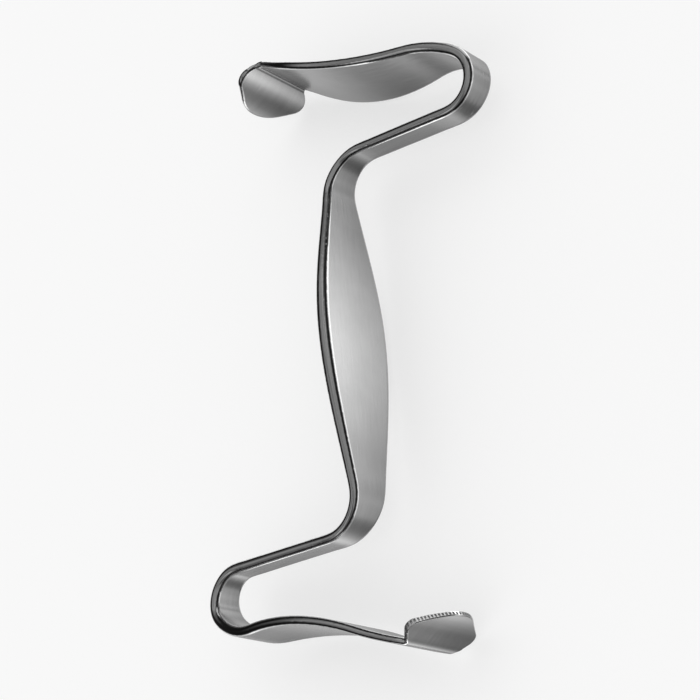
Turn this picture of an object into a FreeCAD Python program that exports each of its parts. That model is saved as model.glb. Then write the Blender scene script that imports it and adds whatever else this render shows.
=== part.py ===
import FreeCAD, Part
import math, os

# A one-piece hand retractor: a strip of steel that is bent in one plane, with a hook at each end.
# The bends lie in the XY plane and the width of the strip runs along Z, so it lies on its side.
# Lengths are in millimetres along the middle of the strip, angles in degrees.

# Handle: the straight middle length, leaning from the Y axis toward the upper left
handle_lean = 19.6
handle_upper_length = 48.2
handle_lower_length = 50.3

# Upper hook, from the handle outward
upper_neck_radius = 12.3
upper_neck_angle = 95.1
upper_arm_length = 35.3
upper_loop_radius = 10.0
upper_loop_angle = 150.3
upper_ease_radius = 35.8
upper_ease_angle = 29.1
upper_blade_radius = 109.0
upper_blade_angle = 30.5
upper_toe_radius = 66.0
upper_toe_angle = 3.9

# Lower hook, from the handle outward
lower_neck_radius = 13.1
lower_neck_angle = 91.6
lower_arm_length = 39.8
lower_loop_radius = 9.3
lower_loop_angle = 137.0
lower_ease_radius = 23.3
lower_ease_angle = 43.5
lower_blade_radius = 99.7
lower_blade_angle = 25.4
lower_toe_radius = 156.0
lower_toe_angle = 7.1

# Widths along the strip
handle_width = 29.7
neck_width = 9.7
upper_blade_width = 33.2
upper_crease_width = 23.6
lower_blade_width = 26.0
lower_crease_width = 22.2

# How far beyond each neck bend the strip goes on narrowing
upper_narrowing = 2.2
lower_narrowing = 7.0

# Distance from the crease back to the widest place of each blade
upper_blade_place = 22.4
lower_blade_place = 37.0

# Thicknesses: middle of the handle, arms, ends of the loops, creases, far ends of the lips
handle_thickness = 4.5
arm_thickness = 3.2
blade_thickness = 3.6
upper_crease_thickness = 2.3
lower_crease_thickness = 2.1
upper_tip_thickness = 1.9
lower_tip_thickness = 1.2

# Long edges: nearly half round, as a share of the thickness
edge_share = 0.47

# Lips: a short tight bend, then a tongue that curves back a little, on the radius named curve.
# Its outline is a shield that widens from the crease to two corners and narrows to a blunt tip.
# Corners and tip are given where the straight sides would meet, and then rounded.
lip_bend_radius = 2.6
upper_lip_bend = 83.4
upper_lip_curve = 18.8
upper_lip_width = 34.0
upper_lip_flare = 6.3
upper_lip_reach = 20.1
upper_corner_radius = 4.4
upper_tip_radius = 13.4
lower_lip_bend = 60.5
lower_lip_curve = 21.0
lower_lip_width = 31.8
lower_lip_flare = 5.6
lower_lip_reach = 17.0
lower_corner_radius = 3.0
lower_tip_radius = 9.3

# Distance beyond the bend where the tongue's outline lies square to it
outline_place = 5.5

# Rounding of the rims of the lips
upper_rim_radius = 0.9
lower_rim_radius = 0.3

# Teeth: round grooves across the rim of the lower lip, which leave an even skin at both faces.
# The middle of each groove lies a little inside the rim.
tooth_pitch = 1.05
groove_radius = 0.38
groove_inset = 0.24
tooth_skin = 0.32

# Greatest distance between two sections of the loft
section_step = 4.0

# Steps of the loft round each lip bend
bend_steps = 12


def arc_length(radius, angle):
    return radius * math.radians(angle)


def walk(plan, distance):
    # Middle point and heading after a distance along a plan of (length, turn) pieces
    x, y, heading = 0.0, 0.0, plan[0][2]
    for i, (length, turn, _) in enumerate(plan):
        last = i == len(plan) - 1
        part = distance if last else min(distance, length)
        angle = turn * part / length
        half = math.radians(angle) / 2
        chord = part if abs(half) < 1e-9 else part * math.sin(half) / half
        x += chord * math.cos(math.radians(heading) + half)
        y += chord * math.sin(math.radians(heading) + half)
        heading += angle
        distance -= part
        if distance <= 1e-9:
            break
    return x, y, heading


def ease(start, end, share):
    share = min(max(share, 0.0), 1.0)
    return start + (end - start) * (1 - math.cos(math.pi * share)) / 2


class Hook:
    def __init__(self, heading, straight, bends, arm, tongue, widths, narrowing, blade_place, ends):
        neck, loop, easing, blade, toe, lip = [(arc_length(*bend), bend[1]) for bend in bends]
        self.lip_reach, lip_curve, self.lip_flare = tongue
        turns = [(straight, 0.0), (neck[0], -neck[1]), (arm, 0.0), loop, easing,
                 (blade[0], -blade[1]), toe, lip,
                 (self.lip_reach, -math.degrees(self.lip_reach / lip_curve))]
        self.plan = [(length, turn, heading) for length, turn in turns]
        self.marks = [sum(piece[0] for piece in self.plan[:i + 1]) for i in range(len(self.plan))]
        self.neck_end, self.arm_end, self.loop_end = self.marks[1], self.marks[2], self.marks[3]
        self.blade_end, self.bend_end, self.tongue_end = self.marks[6], self.marks[7], self.marks[8]
        self.crease = (self.blade_end + self.bend_end) / 2
        self.narrow = self.neck_end + narrowing
        self.widest = self.blade_end - blade_place
        self.blade_width, self.crease_width, self.lip_width = widths
        self.crease_thickness, self.tip_thickness, self.rim_radius = ends
        self.flare_slope = (self.lip_width - self.crease_width) / 2 / self.lip_flare
        self.crease_point = FreeCAD.Vector(*walk(self.plan, self.crease)[:2], 0)
        angle = math.radians(walk(self.plan, self.bend_end + outline_place)[2])
        self.along = FreeCAD.Vector(math.cos(angle), math.sin(angle), 0)

    def width(self, distance):
        if distance < self.narrow:
            return ease(handle_width, neck_width, distance / self.narrow)
        if distance < self.arm_end:
            return neck_width
        if distance < self.widest:
            share = (distance - self.arm_end) / (self.widest - self.arm_end)
            return ease(neck_width, self.blade_width, share)
        if distance < self.blade_end:
            share = (distance - self.widest) / (self.blade_end - self.widest)
            return self.crease_width + (self.blade_width - self.crease_width) * math.cos(math.pi / 2 * share)
        return self.crease_width

    def half_width(self, distance, x, y):
        # Half the width at a point of the section; beyond the crease it follows the outline of the lip
        from_crease = FreeCAD.Vector(x, y, 0) - self.crease_point
        beyond = max(0.0, from_crease.dot(self.along)) if distance > self.blade_end else 0.0
        return self.width(distance) / 2 + self.flare_slope * beyond

    def thickness(self, distance):
        if distance < self.neck_end:
            return ease(handle_thickness, arm_thickness, distance / self.neck_end)
        if distance < self.loop_end:
            share = (distance - self.neck_end) / (self.loop_end - self.neck_end)
            return ease(arm_thickness, blade_thickness, share)
        if distance < self.blade_end:
            share = (distance - self.loop_end) / (self.blade_end - self.loop_end)
            return blade_thickness + (self.crease_thickness - blade_thickness) * share
        share = max(0.0, distance - self.crease) / (self.tongue_end - self.crease)
        return self.crease_thickness + (self.tip_thickness - self.crease_thickness) * share ** 2

    def edge_radii(self, distance):
        # Rounding of the edges, measured in the thickness and in the width: nearly half round along
        # the strip, easing round the bend to the rim of the lip, which runs aslant there
        half_round = edge_share * self.thickness(distance)
        share = (distance - self.blade_end) / (self.bend_end - self.blade_end)
        aslant = self.rim_radius * math.hypot(1, self.flare_slope)
        return ease(half_round, self.rim_radius, share), ease(half_round, aslant, share)

    def stations(self):
        # Places from the middle of the handle to the end of the blade, with one at every change of bend
        places = [0.0]
        for length, turn, _ in self.plan[:7]:
            count = max(1, math.ceil(length / section_step))
            start = places[-1]
            places += [start + length * (i + 1) / count for i in range(count)]
        return places

    def loft_section(self, place, sign=1):
        # Section across the strip; "sign" is 1 going outward from the handle and -1 going back
        x, y, heading = walk(self.plan, place)
        angle = math.radians(heading)
        across = (-math.sin(angle) * sign, math.cos(angle) * sign)
        a = self.thickness(place) / 2
        halves = [self.half_width(place, x + across[0] * u, y + across[1] * u) for u in (a, -a)]
        return section(x, y, across, a, halves, self.edge_radii(place))


def section(x, y, across, a, halves, radii):
    # Rounded outline across the strip: "across" is the direction of the thickness, "a" half the
    # thickness and "halves" half the width at each of the two faces
    bulge = 1 - math.sqrt(0.5)

    def at(u, v):
        return FreeCAD.Vector(x + across[0] * u, y + across[1] * u, v)

    corners = []
    for su, sv in ((1, 1), (-1, 1), (-1, -1), (1, -1)):
        b = halves[0] if su > 0 else halves[1]
        inward = (halves[1] - halves[0]) * su * radii[0] / (2 * a)
        on_face = at(su * a, sv * (b - radii[1]))
        on_edge = at(su * (a - radii[0]), sv * (b + inward))
        middle = at(su * (a - bulge * radii[0]), sv * (b - bulge * radii[1] + inward * bulge))
        corners.append((on_face, middle, on_edge) if su * sv > 0 else (on_edge, middle, on_face))
    edges = []
    for i, (start, middle, end) in enumerate(corners):
        edges.append(Part.Arc(start, middle, end).toShape())
        edges.append(Part.makeLine(end, corners[(i + 1) % 4][0]))
    return Part.Wire(edges)


def strip(upper, lower):
    # The whole strip between the two creases as one smooth body
    wires = [upper.loft_section(place, -1) for place in reversed(upper.stations()[1:])]
    wires += [lower.loft_section(place) for place in lower.stations()]
    return Part.makeLoft(wires, True, False)


def crease_bend(hook):
    # The tight bend at the crease, with the same rounded edges as the strip
    length = hook.bend_end - hook.blade_end
    places = [hook.blade_end + length * i / bend_steps for i in range(bend_steps + 1)]
    return Part.makeLoft([hook.loft_section(place) for place in places], True, True)


def rounded(corners, radii):
    # Edges of a closed outline: the straight sides, and an arc at each corner that has a radius
    arcs = []
    for i, (corner, radius) in enumerate(zip(corners, radii)):
        before = (corners[i - 1] - corner).normalize()
        after = (corners[(i + 1) % len(corners)] - corner).normalize()
        half = before.getAngle(after) / 2
        cut = radius / math.tan(half)
        middle = corner + (before + after).normalize() * (radius / math.sin(half) - radius)
        arcs.append((corner + before * cut, middle, corner + after * cut))
    edges = []
    for i, (start, middle, end) in enumerate(arcs):
        if radii[i] > 0:
            edges.append(Part.Arc(start, middle, end).toShape())
        edges.append(Part.makeLine(end, arcs[(i + 1) % len(arcs)][0]))
    return edges


def lip(hook, corner_radius, tip_radius, toothed):
    # The tongue's outline lies square to its face a little beyond the bend: u along it, v across
    half_crease = hook.crease_width / 2
    half_width = hook.lip_width / 2
    looking = FreeCAD.Vector(-hook.along.y, hook.along.x, 0)
    depth = 3 * hook.lip_width

    def at(u, v):
        return hook.crease_point + hook.along * u + FreeCAD.Vector(0, 0, v) - looking * depth / 2

    corners = [at(0, half_crease), at(hook.lip_flare, half_width), at(hook.lip_reach, 0),
               at(hook.lip_flare, -half_width), at(0, -half_crease)]
    outline = rounded(corners, [0, corner_radius, tip_radius, corner_radius, 0])

    def plate(skin):
        # The tongue as a curved plate from the bend on, less a skin on both faces
        sides = []
        for side in (1, -1):
            points = []
            for place in (hook.bend_end, (hook.bend_end + hook.tongue_end) / 2, hook.tongue_end):
                x, y, heading = walk(hook.plan, place)
                angle = math.radians(heading)
                half = (hook.thickness(place) / 2 - skin) * side
                offset = FreeCAD.Vector(-math.sin(angle) * half, math.cos(angle) * half, 0)
                points.append(FreeCAD.Vector(x, y, -half_width) + offset)
            sides.append(points)
        inner, outer = sides
        profile = Part.Wire([
            Part.Arc(*inner).toShape(), Part.makeLine(inner[2], outer[2]),
            Part.Arc(*reversed(outer)).toShape(), Part.makeLine(outer[0], inner[0])])
        return Part.Face(profile).extrude(FreeCAD.Vector(0, 0, hook.lip_width))

    tongue = plate(0).common(Part.Face(Part.Wire(outline)).extrude(looking * depth))

    # The rim is rounded on both faces; the straight edges lie where the bend ends
    rims = [edge for edge in tongue.Edges if edge.Curve.TypeId != "Part::GeomLine"]
    tongue = tongue.makeFillet(hook.rim_radius, rims)

    # Grooves from corner to corner, evenly spaced along the two sides and the tip
    if toothed:
        rim = Part.Wire(outline[1:6]).makeOffset2D(groove_inset, 0, False, True)
        count = round(rim.Length / tooth_pitch)
        places = rim.discretize(Number=count + 1)
        grooves = [Part.makeCylinder(groove_radius, depth, place, looking) for place in places]
        tongue = tongue.cut(Part.makeCompound(grooves).common(plate(tooth_skin)))
    return [crease_bend(hook), tongue]


upper = Hook(90 + handle_lean, handle_upper_length,
             ((upper_neck_radius, upper_neck_angle), (upper_loop_radius, upper_loop_angle),
              (upper_ease_radius, upper_ease_angle), (upper_blade_radius, upper_blade_angle),
              (upper_toe_radius, upper_toe_angle), (lip_bend_radius, upper_lip_bend)),
             upper_arm_length, (upper_lip_reach, upper_lip_curve, upper_lip_flare),
             (upper_blade_width, upper_crease_width, upper_lip_width), upper_narrowing, upper_blade_place,
             (upper_crease_thickness, upper_tip_thickness, upper_rim_radius))
lower = Hook(handle_lean - 90, handle_lower_length,
             ((lower_neck_radius, lower_neck_angle), (lower_loop_radius, lower_loop_angle),
              (lower_ease_radius, lower_ease_angle), (lower_blade_radius, lower_blade_angle),
              (lower_toe_radius, lower_toe_angle), (lip_bend_radius, lower_lip_bend)),
             lower_arm_length, (lower_lip_reach, lower_lip_curve, lower_lip_flare),
             (lower_blade_width, lower_crease_width, lower_lip_width), lower_narrowing, lower_blade_place,
             (lower_crease_thickness, lower_tip_thickness, lower_rim_radius))

upper_lip = lip(upper, upper_corner_radius, upper_tip_radius, False)
lower_lip = lip(lower, lower_corner_radius, lower_tip_radius, True)
body = strip(upper, lower)
retractor = body.fuse(upper_lip + lower_lip)
retractor = retractor.removeSplitter()
box = retractor.BoundBox
print("retractor", retractor.isValid(), len(retractor.Solids), "solid,", len(retractor.Faces), "faces")
print("box", round(box.XLength, 2), round(box.YLength, 2), round(box.ZLength, 2))
retractor.translate(FreeCAD.Vector(-box.Center.x, -box.Center.y, -box.ZMin))
os.makedirs("parts", exist_ok=True)
retractor.exportStep("parts/retractor.step")
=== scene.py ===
# %% [markdown]
# # A hand retractor bent from one strip of steel
# The object is a single strip of stainless steel: a leaf-shaped handle in the middle, a neck and
# an arm at each end, and a loop that carries a broad blade with a bent lip.
# Its form is complete in the CAD model: the loops, the rounded long edges, the curved lips and the
# teeth. The script therefore keeps that mesh as it is and gives it light, a camera and a finish.

# %% Load the frame
import math
import bmesh
import bpy
from mathutils import Matrix, Vector


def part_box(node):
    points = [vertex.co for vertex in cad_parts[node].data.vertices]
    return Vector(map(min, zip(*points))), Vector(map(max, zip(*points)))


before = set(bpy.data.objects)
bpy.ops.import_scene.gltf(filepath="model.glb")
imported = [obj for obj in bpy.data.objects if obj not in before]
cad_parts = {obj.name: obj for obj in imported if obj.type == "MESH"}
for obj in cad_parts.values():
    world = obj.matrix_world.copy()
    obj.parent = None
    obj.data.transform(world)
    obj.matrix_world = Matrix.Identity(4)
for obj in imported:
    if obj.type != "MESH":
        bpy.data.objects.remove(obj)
bpy.context.view_layer.update()
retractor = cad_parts["retractor"]
low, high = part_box("retractor")
print("the strip spans", [round(1000 * (b - a), 1) for a, b in zip(low, high)], "mm")

# %% [markdown]
# ## The camera
# The strip lies on its side, and the camera looks down on it at 45 degrees from the front right.
# A long lens at a little over half a metre keeps the narrowing of the far edge small.
# Two of the camera's own axes are given in the model's frame: the direction of the picture's right
# hand side and the direction that points back from the object. The third follows from them.

# %% Camera
camera_place = Vector((0.3781, -0.1009, 0.4054))
camera_right = Vector((0.7294, 0.1677, -0.6632)).normalized()
camera_back = Vector((0.6841, -0.1788, 0.7071))
camera_back = (camera_back - camera_back.dot(camera_right) * camera_right).normalized()
camera_up = camera_back.cross(camera_right)

lens = bpy.data.cameras.new("studio_camera")
lens.lens = 90.47
lens.sensor_width = 36.0
lens.clip_start = 0.01
camera = bpy.data.objects.new("studio_camera", lens)
bpy.context.scene.collection.objects.link(camera)
turn = Matrix((camera_right, camera_up, camera_back)).transposed()
camera.matrix_world = Matrix.Translation(camera_place) @ turn.to_4x4()
bpy.context.scene.camera = camera
print("the camera looks down at", round(math.degrees(math.asin(camera_back.z))), "degrees")

# %% [markdown]
# ## Short names for shader nodes
# The room and the steel are both built from a few kinds of node, so each kind gets a short
# function. A number sets a socket, and the output of another node is linked to it.


# %% Node helpers
def node(tree, kind, **settings):
    made = tree.nodes.new(kind)
    for name, value in settings.items():
        setattr(made, name, value)
    return made


def feed(tree, socket, value):
    if isinstance(value, bpy.types.NodeSocket):
        tree.links.new(value, socket)
    else:
        socket.default_value = value


def vector_step(tree, operation, vector, amount):
    # One step of vector arithmetic with a constant vector
    made = node(tree, "ShaderNodeVectorMath", operation=operation)
    tree.links.new(vector, made.inputs[0])
    made.inputs[1].default_value = amount
    return made


# %% [markdown]
# The numbers pass through sums, colour ramps and smooth steps. A noise is measured in features
# per unit of length along each of the three axes.


# %% Sums, ramps, steps and noise
def sums(tree, operation, *values):
    made = node(tree, "ShaderNodeMath", operation=operation)
    for socket, value in zip(made.inputs, values):
        feed(tree, socket, value)
    return made.outputs[0]


def ramp(tree, source, stops):
    made = node(tree, "ShaderNodeValToRGB")
    made.color_ramp.interpolation = "EASE"
    while len(made.color_ramp.elements) < len(stops):
        made.color_ramp.elements.new(0.5)
    for element, (place, grey) in zip(made.color_ramp.elements, stops):
        element.position = place
        element.color = (grey, grey, grey, 1)
    tree.links.new(source, made.inputs["Fac"])
    return made.outputs["Color"]


def smooth(tree, value, start, end, first=0.0, last=1.0):
    made = node(tree, "ShaderNodeMapRange", interpolation_type="SMOOTHSTEP")
    for name, number in (("From Min", start), ("From Max", end), ("To Min", first), ("To Max", last)):
        made.inputs[name].default_value = number
    tree.links.new(value, made.inputs["Value"])
    return made.outputs["Result"]


def noise(tree, vector, features, detail):
    made = node(tree, "ShaderNodeTexNoise")
    made.inputs["Scale"].default_value = 1.0
    made.inputs["Detail"].default_value = detail
    scaled = vector_step(tree, "MULTIPLY", vector, features)
    tree.links.new(scaled.outputs[0], made.inputs["Vector"])
    return made.outputs["Fac"]


# %% [markdown]
# ## The table
# Small instruments are often photographed on a back-lit table, which leaves hardly any shadow.
# The floor is one large square that glows a little, so only a faint shadow stays under the strip.
# It is hidden from mirror rays, because the steel takes its greys from the room below.

# %% Floor
floor_half = 3.0
floor_grey = 0.42
floor_glow = 0.56
floor_mesh = bpy.data.meshes.new("floor")
sheet = bmesh.new()
bmesh.ops.create_grid(sheet, x_segments=1, y_segments=1, size=floor_half)
sheet.to_mesh(floor_mesh)
sheet.free()
floor = bpy.data.objects.new("floor", floor_mesh)
bpy.context.scene.collection.objects.link(floor)

paper = bpy.data.materials.new("lit_table")
paper.use_nodes = True
paper_shader = paper.node_tree.nodes["Principled BSDF"]
paper_shader.inputs["Base Color"].default_value = (floor_grey, floor_grey, floor_grey, 1)
paper_shader.inputs["Roughness"].default_value = 0.9
paper_shader.inputs["Specular IOR Level"].default_value = 0.0
paper_shader.inputs["Emission Color"].default_value = (1, 1, 1, 1)
paper_shader.inputs["Emission Strength"].default_value = floor_glow
floor_mesh.materials.append(paper)
floor.visible_glossy = False
print("floor", [round(v, 2) for v in floor.dimensions], "m, top at z =", floor.location.z)

# %% [markdown]
# ## The room that the steel mirrors
# Steel has no colour of its own: it shows what stands round it. The room is a pattern of light
# over all directions. By height it is grey below, has a bright strip, a black band at and above
# the horizon and a dull grey overhead. The black band and the bright strip draw the thin dark
# and light lines along the rounded edges.

# %% Room by height
world = bpy.data.worlds.new("studio_room")
bpy.context.scene.world = world
world.use_nodes = True
room = world.node_tree
directions = node(room, "ShaderNodeTexCoord").outputs["Generated"]
split = node(room, "ShaderNodeSeparateXYZ")
room.links.new(directions, split.inputs[0])


def at_height(degrees):
    return 0.5 + 0.5 * math.sin(math.radians(degrees))


heights = [(-90, 0.30), (-50, 0.38), (-42, 0.40), (-35, 0.55), (-26, 1.00), (-17, 0.80), (-8, 0.12),
           (0, 0.03), (8, 0.01), (24, 0.01), (35, 0.09), (42, 0.18), (47, 0.28), (56, 0.22), (90, 0.22)]
height = sums(room, "MULTIPLY_ADD", split.outputs["Z"], 0.5, 0.5)
by_height = ramp(room, height, [(at_height(angle), grey) for angle, grey in heights])
print(len(heights), "greys from straight down to straight up")

# %% [markdown]
# Round the horizon the room has lighter and darker sides, counted in degrees from +X toward +Y.
# The darkest is at the front right and gives the bends and lips their dark bands. The
# brightest, at the front left and at the back, draw the light streaks on the loops.

# %% Room by direction
sides = [(-180, 0.42), (-166, 0.47), (-154, 0.37), (-142, 0.27), (-132, 0.31), (-116, 0.94), (-104, 0.62),
         (-90, 0.38), (-76, 0.22), (-62, 0.17), (-46, 0.21), (-28, 0.45), (-12, 0.46), (10, 0.54),
         (30, 0.48), (46, 0.50), (55, 0.72), (66, 0.34), (80, 0.70), (95, 0.60), (120, 0.46),
         (150, 0.50), (170, 0.30), (180, 0.42)]
azimuth = sums(room, "ARCTAN2", split.outputs["Y"], split.outputs["X"])
round_share = sums(room, "MULTIPLY_ADD", azimuth, 0.5 / math.pi, 0.5)
by_side = ramp(room, round_share, [(0.5 + angle / 360, grey) for angle, grey in sides])
seen = node(room, "ShaderNodeMixRGB", blend_type="MULTIPLY")
seen.inputs["Fac"].default_value = 1.0
room.links.new(by_height, seen.inputs["Color1"])
room.links.new(by_side, seen.inputs["Color2"])
print(len(sides), "greys round the horizon")

# %% [markdown]
# Seen from the camera, the rim of the toothed lip mirrors the back of the room, just above the
# horizon. A soft pale card there is added to the pattern, so the bars between the grooves shine.

# %% A card behind the teeth
card_direction = (0.0, 0.996, 0.087)
card_edge, card_middle = 0.88, 0.96
card_grey = 0.24
toward_card = vector_step(room, "DOT_PRODUCT", directions, card_direction)
card = smooth(room, toward_card.outputs["Value"], card_edge, card_middle, 0.0, card_grey)
with_card = node(room, "ShaderNodeMixRGB", blend_type="ADD")
with_card.inputs["Fac"].default_value = 1.0
room.links.new(seen.outputs["Color"], with_card.inputs["Color1"])
room.links.new(card, with_card.inputs["Color2"])
print("the soft card reaches", round(math.degrees(math.acos(card_edge))), "degrees from its middle")

# %% [markdown]
# Only mirror rays see this pattern. Rays that light the floor see an even white, and rays from
# the camera itself see a plain pale grey, so the background stays even.

# %% What each kind of ray sees
room_strength = 3.1
background_grey = 0.913
even_grey = 0.93
mirrored = room.nodes["Background"]
mirrored.inputs["Strength"].default_value = room_strength
room.links.new(with_card.outputs["Color"], mirrored.inputs["Color"])
pale = node(room, "ShaderNodeBackground")
pale.inputs["Color"].default_value = (background_grey, background_grey, background_grey, 1)
even = node(room, "ShaderNodeBackground")
even.inputs["Color"].default_value = (even_grey, even_grey, even_grey, 1)

path = node(room, "ShaderNodeLightPath")
lit = node(room, "ShaderNodeMixShader")
room.links.new(path.outputs["Is Diffuse Ray"], lit.inputs["Fac"])
room.links.new(mirrored.outputs[0], lit.inputs[1])
room.links.new(even.outputs[0], lit.inputs[2])
shown = node(room, "ShaderNodeMixShader")
room.links.new(path.outputs["Is Camera Ray"], shown.inputs["Fac"])
room.links.new(lit.outputs[0], shown.inputs[1])
room.links.new(pale.outputs[0], shown.inputs[2])
room.links.new(shown.outputs[0], room.nodes["World Output"].inputs["Surface"])
bpy.context.scene.view_settings.view_transform = "Standard"
print("the room has", len(room.nodes), "nodes")

# %% [markdown]
# ## Satin steel: the grain
# The faces of such an instrument are finished on a soft wheel that runs along the strip.
# The strip is bent in one plane, so every line of constant height follows it round all the bends:
# a noise that changes fast with height and slowly in the other two directions is a grain that
# runs along the strip. The edges, which face up or down, were polished and keep no grain.
# The numbers are features per millimetre.

# %% Steel grain
grain_lines, grain_along, grain_detail = 2.2, 0.10, 4.0
fine_lines, fine_along, fine_detail = 9.0, 0.35, 2.0
cloud_lines, cloud_detail = 0.09, 3.0
polish_start, polish_full = 0.08, 0.35
steel = bpy.data.materials.new("satin_steel")
steel.use_nodes = True
tree = steel.node_tree
shader = tree.nodes["Principled BSDF"]
coordinates = node(tree, "ShaderNodeTexCoord")
millimetres = node(tree, "ShaderNodeVectorMath", operation="SCALE")
tree.links.new(coordinates.outputs["Object"], millimetres.inputs[0])
millimetres.inputs["Scale"].default_value = 1000.0
place = millimetres.outputs[0]
grain = noise(tree, place, (grain_along, grain_along, grain_lines), grain_detail)
fine_grain = noise(tree, place, (fine_along, fine_along, fine_lines), fine_detail)
mottle = noise(tree, place, (cloud_lines, cloud_lines, cloud_lines), cloud_detail)

facing = node(tree, "ShaderNodeSeparateXYZ")
tree.links.new(coordinates.outputs["Normal"], facing.inputs[0])
polished = smooth(tree, sums(tree, "ABSOLUTE", facing.outputs["Z"]), polish_start, polish_full)
satin = sums(tree, "SUBTRACT", 1.0, polished)
print("grain lines every", round(1 / grain_lines, 2), "mm and", round(1 / fine_lines, 2), "mm")

# %% [markdown]
# ## Satin steel: painted light and shade
# The grey is not even, because light and shade are painted into it. A painted sheen lightens the
# middle of the handle and, a little less, the lower hook, while painted shade darkens the neck and
# loop of the upper hook. Painted shade darkens the folds of the two creases, and painted highlights
# lighten the lips beside them.
# Each place is an upright column, given by its middle in millimetres, its radius and how much
# it adds to the grey.


# %% Painted light and shade places
# Painted light and shade: sheen on the handle and lower hook, shade on the upper hook and in the crease
# folds, highlights on the lips.
painted_light_places = [(4, -6, 50, 0.68), (20, -80, 48, 0.34), (8, 68, 46, -0.42),
               (-51.6, 94, 2.6, -0.50), (54, -89, 3, -0.35),
               (-54.5, 89.5, 5, 0.70), (55.1, -88.4, 5, 0.60)]
flat = vector_step(tree, "MULTIPLY", place, (1, 1, 0))


def near(x, y, radius):
    gap = vector_step(tree, "DISTANCE", flat.outputs[0], (x, y, 0))
    return smooth(tree, gap.outputs["Value"], 0.0, radius, 1.0, 0.0)


# Starts at one and sums the painted light and shade of every place.
painted_light_factor = 1.0
for x, y, radius, change in painted_light_places:
    painted_light_factor = sums(tree, "MULTIPLY_ADD", near(x, y, radius), change, painted_light_factor)
# The count of places with painted light or shade.
print(len(painted_light_places), "worn places")

# %% [markdown]
# ## Satin steel: the grey
# Painted shade makes the grey darker towards the floor, and painted light makes it lighter towards
# the top of the strip. Slow clouds and the streaks of the grain vary the faces a little. The edges
# have one even grey, and the rim of the toothed lip is a lighter one.

# %% Steel tone
satin_grey = 0.44
# Painted shade at the floor and painted light at the top of the strip, as shares of the grey.
floor_shade_share, top_light_share = 0.72, 1.30
strip_height = 33.0
cloud_spread, streak_spread = 0.20, 0.16
edge_grey = 0.56
toothed_extra = 0.34
toothed_place = (59, -83, 16)
rise = node(tree, "ShaderNodeSeparateXYZ")
tree.links.new(place, rise.inputs[0])
# Painted shade towards the floor, painted light towards the top of the strip.
painted_height_shade = smooth(tree, rise.outputs["Z"], 0.0, strip_height, floor_shade_share, top_light_share)
tone = sums(tree, "MULTIPLY", sums(tree, "MULTIPLY", painted_light_factor, satin_grey), painted_height_shade)
cloud = sums(tree, "MULTIPLY_ADD", mottle, cloud_spread, 1 - cloud_spread / 2)
streak = sums(tree, "MULTIPLY_ADD", grain, streak_spread, 1 - streak_spread / 2)
face_grey = sums(tree, "MULTIPLY", sums(tree, "MULTIPLY", tone, cloud), streak)
toothed = smooth(tree, near(*toothed_place), 0.1, 0.5)
grey = node(tree, "ShaderNodeMix", data_type="FLOAT")
tree.links.new(polished, grey.inputs[0])
tree.links.new(face_grey, grey.inputs[2])
tree.links.new(sums(tree, "MULTIPLY_ADD", toothed, toothed_extra, edge_grey), grey.inputs[3])
tint = node(tree, "ShaderNodeCombineColor")
for channel in ("Red", "Green", "Blue"):
    tree.links.new(grey.outputs[0], tint.inputs[channel])
tree.links.new(tint.outputs["Color"], shader.inputs["Base Color"])
# Faces outside the painted light places run between these greys, set by the painted height shade.
print("unworn faces run from", round(satin_grey * floor_shade_share, 2), "to", round(satin_grey * top_light_share, 2))

# %% [markdown]
# ## Satin steel: roughness and relief
# The satin scatters light a little, unevenly along the grain. The polished edges are nearly
# mirrors, and the cut rim with the teeth is duller. The relief of the grain is a few hundredths
# of a millimetre at most.

# %% Steel surface
face_roughness, grain_roughness = 0.17, 0.14
edge_roughness, toothed_roughness = 0.11, 0.12
relief_strength, relief_height = 0.16, 0.00004
face_rough = sums(tree, "MULTIPLY_ADD", grain, grain_roughness, face_roughness)
rough = node(tree, "ShaderNodeMix", data_type="FLOAT")
tree.links.new(polished, rough.inputs[0])
tree.links.new(face_rough, rough.inputs[2])
tree.links.new(sums(tree, "MULTIPLY_ADD", toothed, toothed_roughness, edge_roughness), rough.inputs[3])
tree.links.new(rough.outputs[0], shader.inputs["Roughness"])
shader.inputs["Metallic"].default_value = 1.0

relief = sums(tree, "MULTIPLY", sums(tree, "MULTIPLY_ADD", fine_grain, 0.5, grain), satin)
bump = node(tree, "ShaderNodeBump")
bump.inputs["Strength"].default_value = relief_strength
bump.inputs["Distance"].default_value = relief_height
tree.links.new(relief, bump.inputs["Height"])
tree.links.new(bump.outputs["Normal"], shader.inputs["Normal"])
retractor.material_slots[0].material = steel
print("steel on", retractor.name, "with", len(retractor.data.polygons), "faces")
